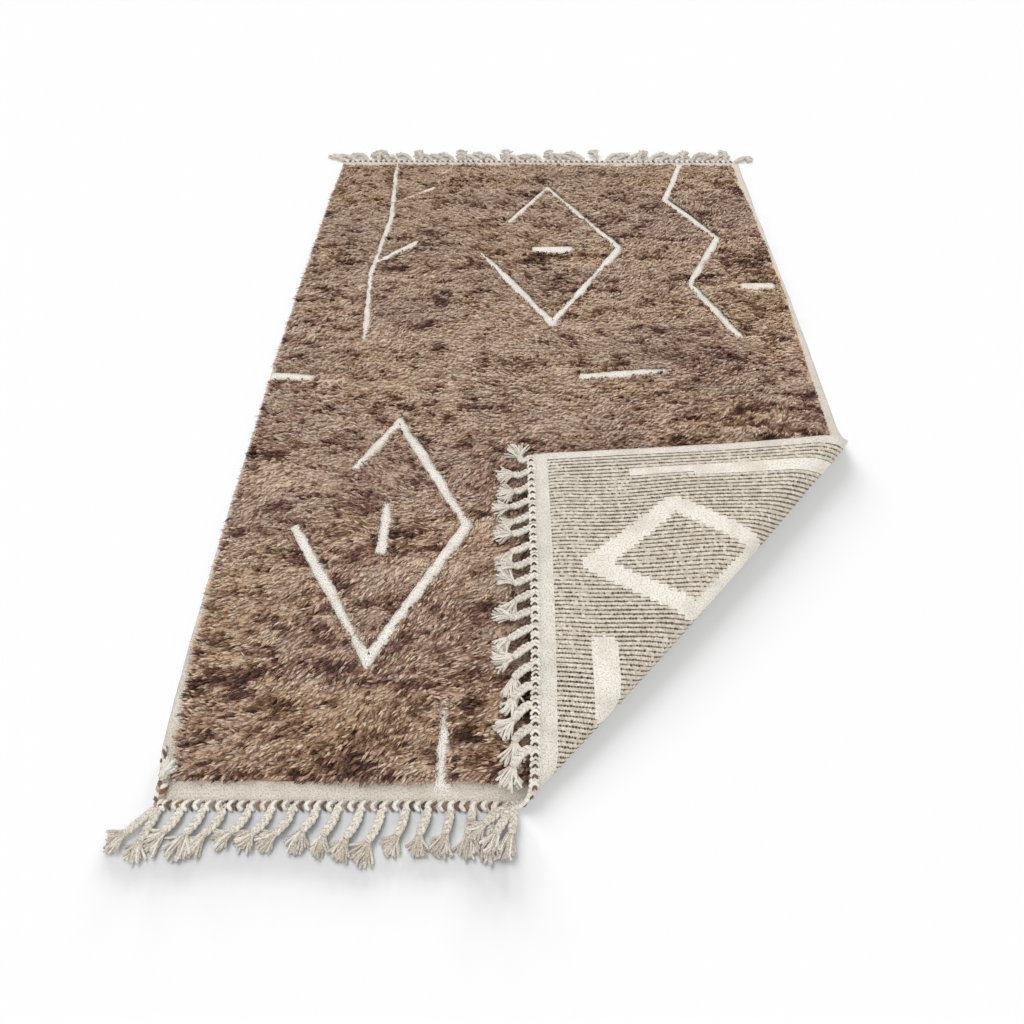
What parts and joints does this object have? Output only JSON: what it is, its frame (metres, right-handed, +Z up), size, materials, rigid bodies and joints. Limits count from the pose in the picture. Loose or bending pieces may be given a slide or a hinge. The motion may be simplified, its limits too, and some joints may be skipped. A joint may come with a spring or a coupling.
{
  "type": "beni mrirt rug",
  "caption": "Thick hand-knotted wool rug lying flat with one corner folded over, its deep pile parted by flat woven lines, its ends twined and hung with plaited tassels.",
  "frame": {"origin": "centre of the rug's underside, on the floor", "axes": "+X across the rug to the side whose corner is folded, +Y along its length to the far end, +Z up"},
  "size_m": [2.1794, 3.2098, 0.1317],
  "materials": {
    "pile_wool": "matte high wool pile, mottled tan, taupe, dark brown and aubergine, with cream flat-woven lines, ends and selvedges",
    "fringe_yarn": "matte cream and greige wool yarn, twined in two tones and plaited"
  },
  "bodies": {
    "root": {"rug": "pile_wool", "near_fringe": "fringe_yarn", "flap_fringe": "fringe_yarn", "far_fringe": "fringe_yarn"}
  },
  "joints": []
}
